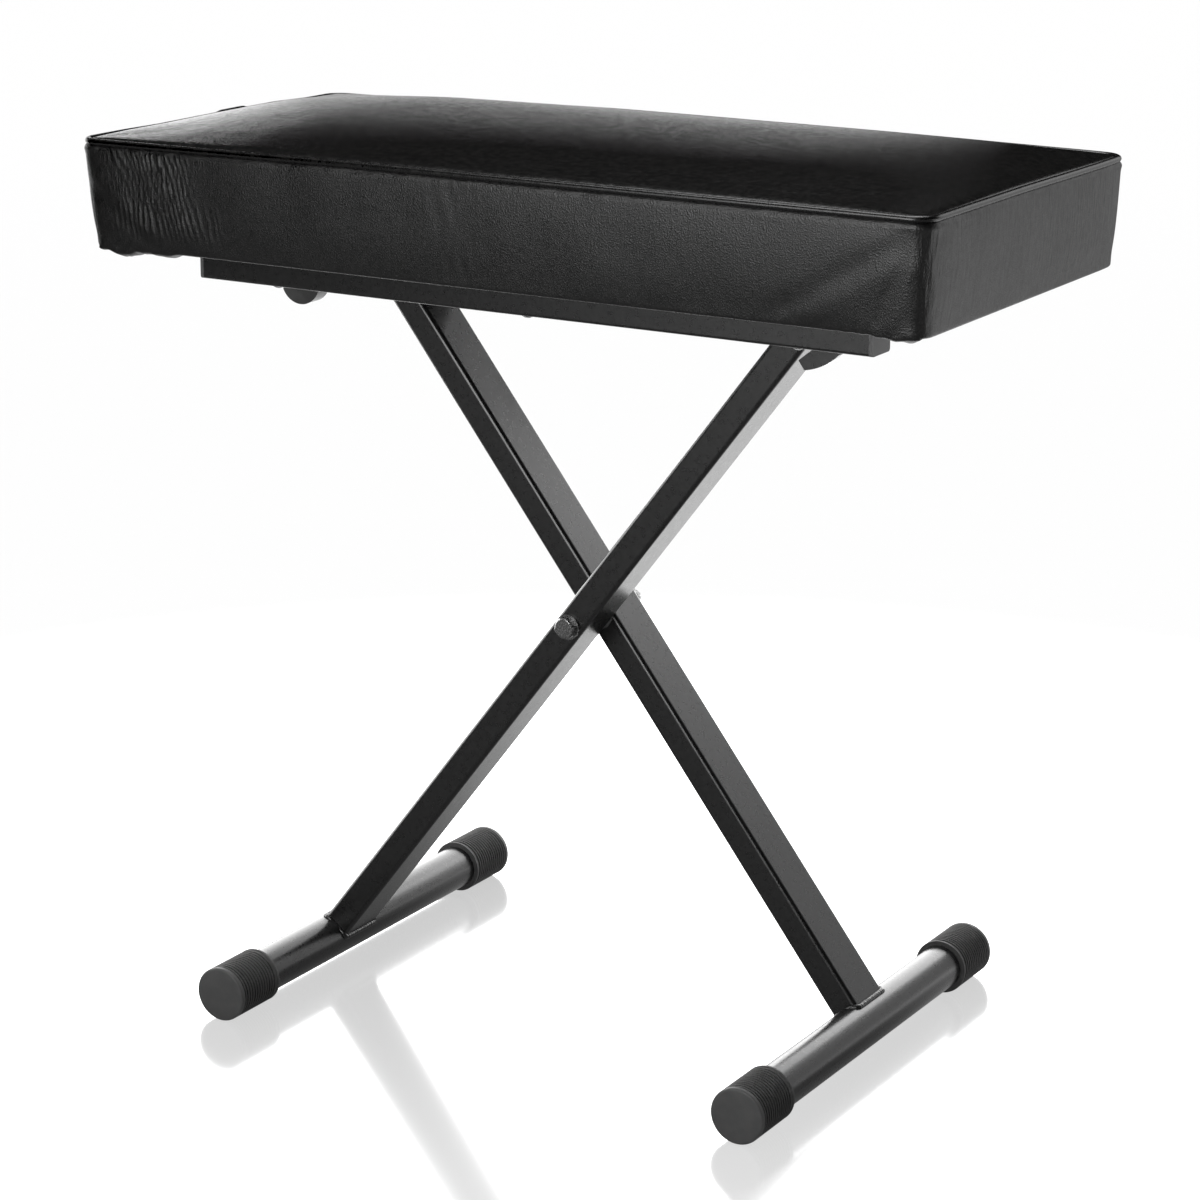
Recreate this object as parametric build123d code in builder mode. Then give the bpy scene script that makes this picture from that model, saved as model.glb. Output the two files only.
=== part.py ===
import os
from math import atan2, cos, hypot, sin

from build123d import *

# Folding bench on one crossed pair of legs. X runs along the seat, Y from front to back, Z is up.
# The origin lies on the floor under the pivot bolt, in the plane where the two legs meet.

# Legs, rectangular steel tube
leg_width = 20.0
leg_depth = 38.0
leg_wall = 1.5
leg_corner = 3.0
leg_gap = 0.8
pivot_height = 273.6
upper_arm = 286.4
foot_spread = 392.8
weld_size = 2.4

# Foot tubes and their ribbed rubber caps
foot_tube_diameter = 30.0
foot_tube_wall = 1.5
foot_length = 338.0
foot_shift = 4.5
cap_wall = 3.5
cap_length = 43.0
cap_end_wall = 5.0
cap_edge = 2.0
cap_band = 6.0
rib_pitch = 2.2
rib_depth = 0.9

# Cross tubes at the tops of the legs
top_tube_diameter = 25.0
top_tube_wall = 1.5
plug_flange = 2.5
plug_depth = 12.0

# Pivot bolt, M8
bolt_diameter = 8.0
bolt_head_flats = 13.0
bolt_head_height = 5.3
bolt_tip = 3.0
bolt_bevel = 0.8
nut_height = 8.0
washer_diameter = 17.0
washer_thickness = 1.6
spacer_diameter = 22.0
bush_wall = 1.5

# Seat, over the piping
seat_length = 603.0
seat_width = 289.0
seat_corner = 9.0
band_height = 70.5
crown_height = 15.0
crown_steps = (0, 0.2, 0.5, 0.8)
bottom_draw = 2.5
middle_draw = 0.5
cover_thickness = 1.5
hem_width = 24.0
board_thickness = 12.0
lining_thickness = 1.0
piping_diameter = 4.4

# Rails under the seat
rail_end_inset = 58.8
rail_size = 23.0
rail_depth = 24.0
rail_wall = 1.5
rail_corner = 2.0
screw_diameter = 5.0
screw_head_diameter = 10.0
screw_head_height = 3.0
screw_head_rim = 1.2
screw_bite = 9.0
rail_screw_end = 52.0
rail_screw_count = 3

# Straps that hold the hinge tube
strap_thickness = 2.0
strap_width = 14.0
strap_flange = 17.0

# Round stop at the left of each rail and hook plate at the right, on the rail's inner face
stop_diameter = 30.0
stop_thickness = 15.0
stop_reach = 182.5
stop_edge = 3.0
hook_thickness = 6.0
hook_tip_reach = 184.0
hook_tip_drop = 12.4
hook_toe_run = 4.1
hook_toe_fall = 5.8
hook_neck_run = 9.5
hook_neck_rise = 7.7
hook_width = 27.2
hook_heel_drop = 6.5
hook_curve = 42.0
hook_lap = 10.0

# Clearances
slide_clearance = 0.3
running_clearance = 0.05
soft_clearance = 0.4
strap_clearance = 1.2
stop_clearance = 0.7

# Heights and places that follow from the sizes above
cap_radius = foot_tube_diameter / 2 + cap_wall
foot_x = foot_spread / 2
lean = atan2(foot_x, pivot_height - cap_radius)
lower_arm = hypot(foot_x, pivot_height - cap_radius)
leg_length = lower_arm + upper_arm
top_x = upper_arm * sin(lean)
top_z = pivot_height + upper_arm * cos(lean)
underside = top_z + top_tube_diameter / 2 + slide_clearance
board_bottom = underside + lining_thickness
board_top = board_bottom + board_thickness
seam_height = underside + band_height
leg_y = (leg_depth + leg_gap) / 2
leg_face = leg_depth + leg_gap / 2
strap_y = leg_face + weld_size + strap_clearance + strap_width / 2
top_tube_end = strap_y + strap_width / 2 + strap_clearance
rail_inner_y = top_tube_end + plug_flange + stop_clearance + stop_thickness
rail_y = rail_inner_y + rail_depth / 2
rail_bottom = underside - rail_size
rail_z = underside - rail_size / 2
hole_radius = bolt_diameter / 2 + running_clearance
bush_radius = hole_radius + bush_wall
screw_hole = screw_diameter / 2 + running_clearance
strap_inner = top_tube_diameter / 2 + running_clearance
strap_outer = strap_inner + strap_thickness
strap_screw_reach = strap_outer + strap_flange / 2
panel_inset = piping_diameter / 2
hem_inset = panel_inset + bottom_draw + hem_width
along_y = (90, 0, 0)

rail_length = seat_length - 2 * rail_end_inset
rail_screw_pitch = (rail_length - 2 * rail_screw_end) / (rail_screw_count - 1)
rail_screw_points = []
for rail_side in (-rail_y, rail_y):
    for i in range(rail_screw_count):
        rail_screw_points.append((rail_screw_end - rail_length / 2 + i * rail_screw_pitch, rail_side))
strap_screw_points = []
for strap_side in (-strap_y, strap_y):
    strap_screw_points.append((top_x - strap_screw_reach, strap_side))
    strap_screw_points.append((top_x + strap_screw_reach, strap_side))


def foot_point(side):
    return (side * foot_x, 0, cap_radius)


def top_point(side):
    return (-side * top_x, 0, top_z)


def leg_plane(side, y):
    # A leg's foot is on the given side and its top is on the other side
    origin = (side * foot_x, y, cap_radius)
    return Plane(origin=origin, x_dir=(0, 1, 0), z_dir=(-side * sin(lean), 0, cos(lean)))


def make_leg(side, y, pivot_hole):
    # The tube is coped at both ends to sit on the round cross tubes
    with BuildPart() as leg:
        with BuildSketch(leg_plane(side, y)):
            RectangleRounded(leg_depth, leg_width, leg_corner)
            inner_depth = leg_depth - 2 * leg_wall
            inner_width = leg_width - 2 * leg_wall
            RectangleRounded(inner_depth, inner_width, leg_corner - leg_wall, mode=Mode.SUBTRACT)
        extrude(amount=leg_length)
        with Locations(foot_point(side)):
            foot_cut = foot_tube_diameter / 2 + running_clearance
            Cylinder(foot_cut, foot_length, rotation=along_y, mode=Mode.SUBTRACT)
        with Locations(top_point(side)):
            Cylinder(strap_inner, foot_length, rotation=along_y, mode=Mode.SUBTRACT)
        with Locations((0, y, pivot_height)):
            Cylinder(pivot_hole, 2 * leg_depth, rotation=along_y, mode=Mode.SUBTRACT)
    return leg.part


def make_weld(side, y, center, diameter):
    # A collar of weld runs round the leg where it meets a tube
    with BuildPart() as weld:
        with BuildSketch(leg_plane(side, y)):
            RectangleRounded(leg_depth + 2 * weld_size, leg_width + 2 * weld_size, leg_corner + weld_size)
            hole_depth = leg_depth + 2 * running_clearance
            hole_width = leg_width + 2 * running_clearance
            RectangleRounded(hole_depth, hole_width, leg_corner + running_clearance, mode=Mode.SUBTRACT)
        extrude(amount=leg_length)
        with Locations(center):
            Cylinder(diameter / 2 + weld_size, foot_length, rotation=along_y, mode=Mode.INTERSECT)
            Cylinder(diameter / 2 + running_clearance, foot_length, rotation=along_y, mode=Mode.SUBTRACT)
    return weld.part


def make_tube(center, diameter, wall, length):
    with BuildPart() as tube:
        with Locations(center):
            Cylinder(diameter / 2, length, rotation=along_y)
            Cylinder(diameter / 2 - wall, length, rotation=along_y, mode=Mode.SUBTRACT)
    return tube.part


def make_foot_cap(side, end):
    # The profile is drawn from the closed end inwards and turned about the foot tube
    bore = foot_tube_diameter / 2 + running_clearance
    lip = foot_tube_diameter / 2 + cap_wall / 3
    end_y = foot_shift + end * foot_length / 2
    origin = (side * foot_x, end_y, cap_radius)
    rib_count = int((cap_length - 2 * cap_band) / rib_pitch)
    outer_line = [(cap_edge, cap_radius), (cap_band, cap_radius)]
    for i in range(rib_count):
        rib_end = cap_band + (i + 1) * rib_pitch
        outer_line.append((rib_end - rib_pitch / 2, cap_radius - rib_depth))
        outer_line.append((rib_end, cap_radius))
    with BuildPart() as cap:
        with BuildSketch(Plane(origin=origin, x_dir=(0, -end, 0), z_dir=(end, 0, 0))):
            with BuildLine():
                RadiusArc((0, cap_radius - cap_edge), (cap_edge, cap_radius), cap_edge)
                Polyline(
                    *outer_line,
                    (cap_length, cap_radius),
                    (cap_length, lip),
                    (cap_length - cap_wall, bore),
                    (cap_end_wall, bore),
                    (cap_end_wall, 0),
                    (0, 0),
                    (0, cap_radius - cap_edge),
                )
            make_face()
        revolve(axis=Axis(origin, (0, 1, 0)))
    return cap.part


def make_top_plugs(center):
    # Two plastic plugs close the ends of a cross tube
    bore = top_tube_diameter / 2 - top_tube_wall - running_clearance
    with BuildPart() as plugs:
        with Locations(center):
            for end in (-1, 1):
                with Locations((0, end * (top_tube_end + plug_flange / 2), 0)):
                    Cylinder(top_tube_diameter / 2, plug_flange, rotation=along_y)
                with Locations((0, end * (top_tube_end - plug_depth / 2), 0)):
                    Cylinder(bore, plug_depth, rotation=along_y)
    return plugs.part


def make_rail(y):
    with BuildPart() as rail:
        with BuildSketch(Plane.YZ.offset(-rail_length / 2)):
            with Locations((y, rail_z)):
                RectangleRounded(rail_depth, rail_size, rail_corner)
                Rectangle(rail_depth - 2 * rail_wall, rail_size - 2 * rail_wall, mode=Mode.SUBTRACT)
        extrude(amount=rail_length)
        with Locations((0, y, rail_z)):
            with GridLocations(rail_screw_pitch, 0, rail_screw_count, 1):
                Cylinder(screw_hole, 2 * rail_size, mode=Mode.SUBTRACT)
    return rail.part


def make_rail_plug(y, end):
    bore_inset = 2 * (rail_wall + running_clearance)
    with BuildPart() as plug:
        with BuildSketch(Plane.YZ.offset(end * rail_length / 2)):
            with Locations((y, rail_z)):
                RectangleRounded(rail_depth, rail_size, rail_corner)
        extrude(amount=end * plug_flange)
        with BuildSketch(Plane.YZ.offset(end * rail_length / 2)):
            with Locations((y, rail_z)):
                Rectangle(rail_depth - bore_inset, rail_size - bore_inset)
        extrude(amount=-end * plug_depth)
    return plug.part


def make_stop(sign):
    # A round stop stands on the rail's inner face, with its free end rounded
    with BuildPart() as stop:
        with Locations((-stop_reach, sign * (rail_inner_y - stop_thickness / 2), rail_bottom)):
            Cylinder(stop_diameter / 2, stop_thickness, rotation=along_y)
        end_faces = stop.faces().filter_by(Axis.Y).sort_by(Axis.Y)
        free_face = end_faces[0] if sign > 0 else end_faces[-1]
        fillet(free_face.edges(), stop_edge)
    return stop.part


def make_hook(sign):
    # A hook plate hangs below the rail, with a slanted lip towards the middle and a curved back
    tip = (hook_tip_reach, rail_bottom - hook_tip_drop)
    toe = (tip[0] + hook_toe_run, tip[1] - hook_toe_fall)
    neck = (tip[0] + hook_neck_run, tip[1] + hook_neck_rise)
    heel = (hook_tip_reach + hook_width, rail_bottom - hook_heel_drop)
    top = rail_bottom + hook_lap
    with BuildPart() as hook:
        with BuildSketch(Plane.XZ.offset(-sign * rail_inner_y)):
            with BuildLine():
                Polyline(heel, (heel[0], top), (neck[0], top), neck, tip, toe)
                RadiusArc(toe, heel, -hook_curve)
            make_face()
        extrude(amount=sign * hook_thickness)
    return hook.part


def make_strap(y):
    # The strap goes round the hinge tube and turns out into two flanges under the seat
    rise = underside - top_z
    with BuildPart() as strap:
        with BuildSketch(Plane.XZ.offset(-y - strap_width / 2)):
            with Locations((top_x, top_z)):
                Circle(strap_outer)
            with Locations((top_x, top_z + rise / 2)):
                Rectangle(2 * strap_outer, rise)
            with Locations((top_x, underside - strap_thickness / 2)):
                Rectangle(2 * (strap_outer + strap_flange), strap_thickness)
            with Locations((top_x, top_z)):
                Circle(strap_inner, mode=Mode.SUBTRACT)
            with Locations((top_x, top_z + strap_outer / 2)):
                Rectangle(2 * strap_inner, strap_outer, mode=Mode.SUBTRACT)
            with Locations((top_x, underside + strap_outer / 2)):
                Rectangle(2 * strap_outer, strap_outer, mode=Mode.SUBTRACT)
        extrude(amount=strap_width)
        with Locations((top_x, y, underside)):
            with GridLocations(2 * strap_screw_reach, 0, 2, 1):
                Cylinder(screw_hole, 4 * strap_thickness, mode=Mode.SUBTRACT)
    return strap.part


def make_screws(points, bottom, length):
    # Each screw has a bevelled head below the given height and a plain shank above it
    head_radius = screw_head_diameter / 2
    shank_radius = screw_diameter / 2
    with BuildPart() as screws:
        for x, y in points:
            with BuildSketch(Plane.XZ.offset(-y)):
                with BuildLine():
                    Polyline(
                        (x, bottom - screw_head_height),
                        (x + shank_radius, bottom - screw_head_height),
                        (x + head_radius, bottom - screw_head_rim),
                        (x + head_radius, bottom),
                        (x + shank_radius, bottom),
                        (x + shank_radius, bottom + length),
                        (x, bottom + length),
                        close=True,
                    )
                make_face()
            revolve(axis=Axis((x, y, 0), (0, 0, 1)))
    return screws.part


def make_padding(skin, floor):
    # The band swells a little between its drawn-in bottom and the seam, and the top is crowned.
    # The skin is how far this solid lies inside the cover's outer face.
    corner = seat_corner - panel_inset - skin
    edge_inset = panel_inset + skin
    seam = seam_height - skin
    band_steps = ((floor, bottom_draw), ((floor + seam) / 2, middle_draw), (seam, 0))
    with BuildPart() as padding:
        for height, draw in band_steps:
            inset = edge_inset + draw
            with BuildSketch(Plane.XY.offset(height)):
                RectangleRounded(seat_length - 2 * inset, seat_width - 2 * inset, corner)
        loft()
        for share in crown_steps:
            rise = crown_height * (1 - (1 - share) ** 2)
            inset = edge_inset + share * seat_width / 2
            with BuildSketch(Plane.XY.offset(seam + rise)):
                RectangleRounded(seat_length - 2 * inset, seat_width - 2 * inset, corner)
        loft()
    return padding.part


def make_piping(radius):
    # The cord runs round the seam between the top panel and the band
    with BuildPart() as piping:
        with BuildSketch(Plane.XY.offset(seam_height), mode=Mode.PRIVATE) as loop:
            loop_length = seat_length - 2 * panel_inset
            loop_width = seat_width - 2 * panel_inset
            RectangleRounded(loop_length, loop_width, seat_corner - panel_inset)
        path = loop.sketch.face().outer_wire()
        with BuildSketch(Plane(origin=path @ 0, z_dir=path % 0)):
            Circle(radius)
        sweep(path=path)
    return piping.part


def make_washer(y_low, thickness, diameter):
    with BuildPart() as washer:
        with Locations((0, y_low + thickness / 2, pivot_height)):
            Cylinder(diameter / 2, thickness, rotation=along_y)
            Cylinder(hole_radius, thickness, rotation=along_y, mode=Mode.SUBTRACT)
    return washer.part


pieces = {}

# Each leg with its foot, its cross tube and their welds
bush_hole = bush_radius + running_clearance
legs = ((-1, "front", "left", -leg_y, hole_radius), (1, "rear", "right", leg_y, bush_hole))
for side, leg_name, foot_name, y, pivot_hole in legs:
    pieces[leg_name + "_leg"] = make_leg(side, y, pivot_hole)
    foot_center = (side * foot_x, foot_shift, cap_radius)
    tube_length = foot_length - 2 * cap_end_wall
    pieces[foot_name + "_foot_tube"] = make_tube(foot_center, foot_tube_diameter, foot_tube_wall, tube_length)
    pieces[foot_name + "_foot_front_cap"] = make_foot_cap(side, -1)
    pieces[foot_name + "_foot_rear_cap"] = make_foot_cap(side, 1)
    pieces[foot_name + "_foot_weld"] = make_weld(side, y, foot_point(side), foot_tube_diameter)
    top = top_point(side)
    pieces[leg_name + "_top_tube"] = make_tube(top, top_tube_diameter, top_tube_wall, 2 * top_tube_end)
    pieces[leg_name + "_top_plugs"] = make_top_plugs(top)
    pieces[leg_name + "_top_weld"] = make_weld(side, y, top, top_tube_diameter)

# Pivot bolt, washers, spacer, bush and nut
head_seat = -leg_face - washer_thickness
rear_washer_y = leg_face + running_clearance
nut_seat = rear_washer_y + washer_thickness
bolt_end = nut_seat + nut_height + bolt_tip

with BuildPart() as pivot_bolt:
    with BuildSketch(Plane.XZ.offset(-head_seat)):
        with Locations((0, pivot_height)):
            RegularPolygon(bolt_head_flats / 2, 6, major_radius=False)
    extrude(amount=bolt_head_height)
    with BuildSketch(Plane.XZ.offset(-head_seat)):
        with Locations((0, pivot_height)):
            Circle(bolt_diameter / 2)
    extrude(amount=head_seat - bolt_end)
    chamfer(pivot_bolt.faces().sort_by(Axis.Y)[-1].edges(), bolt_bevel)
pieces["pivot_bolt"] = pivot_bolt.part

pieces["front_washer"] = make_washer(head_seat, washer_thickness, washer_diameter)
pieces["rear_washer"] = make_washer(rear_washer_y, washer_thickness, washer_diameter)
pieces["pivot_spacer"] = make_washer(-leg_gap / 2, leg_gap - running_clearance, spacer_diameter)

with BuildPart() as pivot_nut:
    with BuildSketch(Plane.XZ.offset(-nut_seat)):
        with Locations((0, pivot_height)):
            RegularPolygon(bolt_head_flats / 2, 6, major_radius=False)
            Circle(hole_radius, mode=Mode.SUBTRACT)
    extrude(amount=-nut_height)
pieces["pivot_nut"] = pivot_nut.part

pieces["pivot_bush"] = make_washer(leg_gap / 2, leg_depth, 2 * bush_radius)

# Seat cover, which the piping parts into a side band and a top panel
with BuildPart() as seat_cover:
    add(make_padding(0, underside))
    add(make_padding(cover_thickness, board_bottom), mode=Mode.SUBTRACT)
    with BuildSketch(Plane.XY.offset(underside)):
        Rectangle(seat_length - 2 * hem_inset, seat_width - 2 * hem_inset)
    extrude(amount=lining_thickness, mode=Mode.SUBTRACT)
    add(make_piping(panel_inset + running_clearance), mode=Mode.SUBTRACT)
pieces["seat_band"], pieces["seat_top_panel"] = seat_cover.solids().sort_by(Axis.Z)

pieces["seat_piping"] = make_piping(panel_inset)
pieces["seat_foam"] = make_padding(cover_thickness + soft_clearance, board_top)

with BuildPart() as seat_board:
    with BuildSketch(Plane.XY.offset(board_bottom)):
        board_inset = panel_inset + bottom_draw + cover_thickness + soft_clearance
        board_corner = seat_corner - panel_inset - cover_thickness
        RectangleRounded(seat_length - 2 * board_inset, seat_width - 2 * board_inset, board_corner)
    extrude(amount=board_thickness)
    for x, y in rail_screw_points + strap_screw_points:
        with Locations((x, y, board_bottom)):
            Cylinder(screw_hole, 2 * screw_bite, mode=Mode.SUBTRACT)
pieces["seat_board"] = seat_board.part

with BuildPart() as seat_lining:
    with BuildSketch(Plane.XY.offset(underside)):
        lining_inset = hem_inset + soft_clearance
        Rectangle(seat_length - 2 * lining_inset, seat_width - 2 * lining_inset)
    extrude(amount=lining_thickness)
    for x, y in rail_screw_points + strap_screw_points:
        with Locations((x, y, underside)):
            Cylinder(screw_hole, 4 * lining_thickness, mode=Mode.SUBTRACT)
pieces["seat_lining"] = seat_lining.part

# Rails, plugs, stops, hooks, straps and screws under the seat
for sign, place in ((-1, "front"), (1, "rear")):
    pieces[place + "_rail"] = make_rail(sign * rail_y)
    pieces[place + "_rail_left_plug"] = make_rail_plug(sign * rail_y, -1)
    pieces[place + "_rail_right_plug"] = make_rail_plug(sign * rail_y, 1)
    pieces[place + "_stop"] = make_stop(sign)
    pieces[place + "_hook"] = make_hook(sign)
    pieces[place + "_hinge_strap"] = make_strap(sign * strap_y)
pieces["rail_screws"] = make_screws(rail_screw_points, rail_bottom, rail_size + screw_bite)
strap_seat = underside - strap_thickness
pieces["strap_screws"] = make_screws(strap_screw_points, strap_seat, strap_thickness + screw_bite)

os.makedirs("parts", exist_ok=True)
for name, piece in pieces.items():
    piece.label = name
    export_step(piece, "parts/" + name + ".step")
print("seat underside", round(underside, 2), "seam", round(seam_height, 2), "pieces", len(pieces))
print("top tubes at x", round(top_x, 2), "z", round(top_z, 2), "rails at y", round(rail_y, 2))
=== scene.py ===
import math

import bpy
import numpy as np
from mathutils import Matrix, Vector, noise


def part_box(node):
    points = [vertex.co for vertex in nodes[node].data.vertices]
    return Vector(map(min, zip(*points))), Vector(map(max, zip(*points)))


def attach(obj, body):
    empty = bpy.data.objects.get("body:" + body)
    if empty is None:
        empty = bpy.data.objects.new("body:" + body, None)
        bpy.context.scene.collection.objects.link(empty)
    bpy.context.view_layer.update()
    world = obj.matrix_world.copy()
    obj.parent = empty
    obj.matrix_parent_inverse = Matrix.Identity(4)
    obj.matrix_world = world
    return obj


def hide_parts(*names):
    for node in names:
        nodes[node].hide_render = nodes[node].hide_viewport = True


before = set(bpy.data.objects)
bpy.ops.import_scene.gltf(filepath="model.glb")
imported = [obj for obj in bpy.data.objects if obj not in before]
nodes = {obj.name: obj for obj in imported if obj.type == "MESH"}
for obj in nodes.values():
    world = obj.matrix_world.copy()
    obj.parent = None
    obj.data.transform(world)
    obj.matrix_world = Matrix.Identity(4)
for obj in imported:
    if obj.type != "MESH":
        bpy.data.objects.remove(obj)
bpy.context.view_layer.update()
scene = bpy.context.scene
print("frame loaded:", len(nodes), "nodes")


class Flow:
    # one output socket in a node tree, with maths on it
    def __init__(self, tree, socket=None):
        self.tree = tree
        self.socket = socket

    def feed(self, target, value):
        if isinstance(value, Flow):
            self.tree.links.new(value.socket, target)
        else:
            target.default_value = value

    def add(self, kind, settings=None, sockets=None, out=0):
        made = self.tree.nodes.new(kind)
        for name, value in (settings or {}).items():
            setattr(made, name, value)
        for name, value in (sockets or {}).items():
            self.feed(made.inputs[name], value)
        return Flow(self.tree, made.outputs[out])

    def maths(self, operation, *others):
        values = dict(enumerate((self,) + others))
        return self.add("ShaderNodeMath", {"operation": operation}, values)

    def __add__(self, other):
        return self.maths("ADD", other)

    __radd__ = __add__

    def __sub__(self, other):
        return self.maths("SUBTRACT", other)

    def __rsub__(self, other):
        return self.maths("MULTIPLY_ADD", -1.0, other)

    def __mul__(self, other):
        return self.maths("MULTIPLY", other)

    __rmul__ = __mul__

    def remap(self, low, high, start=0.0, end=1.0):
        limits = {"Value": self, "From Min": low, "From Max": high, "To Min": start, "To Max": end}
        return self.add("ShaderNodeMapRange", {"interpolation_type": "SMOOTHSTEP"}, limits)

    def colours(self, low, high):
        return self.add("ShaderNodeMix", {"data_type": "RGBA"}, {0: self, 6: low, 7: high}, out=2)


# the ranges that hold nearly all of a noise texture's values
noiseCore, noiseRange = (0.35, 0.65), (0.3, 0.7)


def grey(level, warm=0.0):
    return (level * (1 + warm), level, level * (1 - warm), 1.0)


def newMaterial(name):
    material = bpy.data.materials.new(name)
    material.use_nodes = True
    tree = material.node_tree
    flow = Flow(tree)
    place = flow.add("ShaderNodeTexCoord", out=3)
    return material, flow, place, tree.nodes["Principled BSDF"]


def stretched(flow, place, scale):
    return flow.add("ShaderNodeMapping", None, {"Vector": place, "Scale": scale})


def noiseField(flow, place, scale, detail=3.0):
    return flow.add("ShaderNodeTexNoise", None, {"Vector": place, "Scale": scale, "Detail": detail})


def bumped(flow, height, strength, distance, below=None):
    sockets = {"Height": height, "Strength": strength, "Distance": distance}
    if below is not None:
        sockets["Normal"] = below
    return flow.add("ShaderNodeBump", None, sockets)


def axes(flow, place):
    parts = flow.tree.nodes.new("ShaderNodeSeparateXYZ")
    flow.feed(parts.inputs[0], place)
    return [Flow(flow.tree, out) for out in parts.outputs]


def attribute(flow, name):
    return flow.add("ShaderNodeAttribute", {"attribute_name": name}, out=2)


def dress(flow, shader, values):
    for name, value in values.items():
        flow.feed(shader.inputs[name], value)


def finished(name, dial):
    # a plain finish: mottled colour, uneven gloss, fine surface grain, and painted shade where a shade layer is
    # given
    material, flow, place, shader = newMaterial(name)
    mottle = noiseField(flow, place, dial["mottle"])
    fine = noiseField(flow, place, dial["fine"], detail=2.0)
    low, high = dial["colour"]
    colour = mottle.remap(*noiseCore).colours(grey(low), grey(high))
    # painted shade: where the given layer is high, the colour goes to a near-black painted shade
    if "worn" in dial:
        colour = attribute(flow, dial["worn"]).colours(colour, grey(dial["wornColour"]))
    rough = mottle.remap(*noiseRange, *dial["roughness"])
    normal = bumped(flow, fine, dial["grain"], dial["depth"])
    dress(flow, shader, {"Base Color": colour, "Roughness": rough, "Specular IOR Level": dial["specular"],
                         "Normal": normal})
    return material


vinylDial = {"grain": 1400, "stretch": 0.15, "cellStretch": 0.7, "cellSmooth": 0.4, "depth": 0.0009,
             "colour": (0.004, 0.0065), "warm": 0.06, "bandGrain": 0.24, "topGrain": 0.3, "fibre": 430,
             "fibreStretch": 0.13, "fibreDepth": 0.0012, "roughness": (0.38, 0.44), "topGloss": 0.17,
             "mottle": 240}


def vinylMaterial(dial):
    material, flow, place, shader = newMaterial("blackVinyl")
    panel = attribute(flow, "panel")
    streaks = noiseField(flow, stretched(flow, place, (dial["stretch"], 1, 1)), dial["grain"], detail=2.0)
    squeezed = stretched(flow, place, (1, 1, dial["cellStretch"]))
    cells = flow.add("ShaderNodeTexVoronoi", {"feature": "SMOOTH_F1"},
                     {"Vector": squeezed, "Scale": dial["grain"], "Smoothness": dial["cellSmooth"]})
    grain = flow.add("ShaderNodeMix", None, {0: panel, 2: cells, 3: streaks})
    upright = stretched(flow, place, (1, 1, dial["fibreStretch"]))
    fibre = noiseField(flow, upright, dial["fibre"])
    first = bumped(flow, fibre, attribute(flow, "fibre"), dial["fibreDepth"])
    mottle = noiseField(flow, place, dial["mottle"])
    low, high = dial["colour"]
    colour = mottle.remap(*noiseRange).colours(grey(low), grey(high, dial["warm"]))
    rough = mottle.remap(*noiseRange, *dial["roughness"]) - panel * dial["topGloss"]
    strength = panel.remap(0.0, 1.0, dial["bandGrain"], dial["topGrain"]) * (1.0 - attribute(flow, "calm"))
    normal = bumped(flow, grain, strength, dial["depth"], first)
    dress(flow, shader, {"Base Color": colour, "Roughness": rough, "Normal": normal})
    return material


def plyMaterial():
    dial = {"plies": 160, "distortion": 1.5, "detail": 2.0, "roughness": (0.6, 0.75),
            "pale": (0.55, 0.38, 0.22, 1), "dark": (0.42, 0.27, 0.14, 1)}
    material, flow, place, shader = newMaterial("plywood")
    rings = flow.add("ShaderNodeTexWave", {"bands_direction": "Z"},
                     {"Vector": place, "Scale": dial["plies"], "Distortion": dial["distortion"],
                      "Detail": dial["detail"]})
    dress(flow, shader, {"Base Color": rings.colours(dial["dark"], dial["pale"]),
                         "Roughness": rings.remap(0, 1, *dial["roughness"])})
    return material


def steelMaterial():
    dial = {"brush": 900, "stretch": 0.15, "colour": (0.2, 0.3), "roughness": (0.2, 0.3), "grain": 0.1,
            "depth": 0.0005}
    material, flow, place, shader = newMaterial("darkSteel")
    brushed = noiseField(flow, stretched(flow, place, (1, dial["stretch"], 1)), dial["brush"], detail=2.0)
    low, high = dial["colour"]
    colour = brushed.remap(*noiseRange).colours(grey(low), grey(high))
    rough = brushed.remap(*noiseRange, *dial["roughness"])
    normal = bumped(flow, brushed, dial["grain"], dial["depth"])
    dress(flow, shader, {"Base Color": colour, "Metallic": 1.0, "Roughness": rough, "Normal": normal})
    return material


# the plain finishes by slot, each a row of the named values
finishNames = ("mottle", "fine", "colour", "roughness", "specular", "grain", "depth")
finishDial = {
    "black_paint": (300, 900, (0.007, 0.01), (0.27, 0.31), 0.6, 0.004, 0.0004),
    "black_plastic": (60, 900, (0.11, 0.13), (0.42, 0.52), 0.5, 0.12, 0.0005),
    "black_rubber": (120, 1100, (0.078, 0.088), (0.5, 0.6), 0.4, 0.15, 0.0005),
    "stop_plastic": (60, 900, (0.03, 0.045), (0.35, 0.45), 0.5, 0.1, 0.0005),
    "lining_cloth": (300, 2400, (0.014, 0.024), (0.85, 0.95), 0.2, 0.6, 0.0008),
    "foam": (200, 1500, (0.62, 0.72), (0.85, 0.95), 0.2, 0.4, 0.001),
}
# painted shade on the rubber caps: the colour goes near black in the grooves between the ribs
capShadeDial = {"black_rubber": {"worn": "groove", "wornColour": 0.004}}


def camel(slot):
    first, *rest = slot.split("_")
    return first + "".join(part.capitalize() for part in rest)


vinyl, steel = vinylMaterial(vinylDial), steelMaterial()
slotLooks = {"black_vinyl": vinyl, "dark_steel": steel, "plywood": plyMaterial()}
for slot, row in finishDial.items():
    slotLooks[slot] = finished(camel(slot), {**dict(zip(finishNames, row)), **capShadeDial.get(slot, {})})
paint, rubber = slotLooks["black_paint"], slotLooks["black_rubber"]
for node in nodes.values():
    slotName = node.data.materials[0].name.split(".")[0]
    node.data.materials.clear()
    node.data.materials.append(slotLooks[slotName])
print("materials made:", len(slotLooks))


def plainObject(name, data):
    made = bpy.data.objects.new(name, data)
    scene.collection.objects.link(made)
    return made


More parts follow.
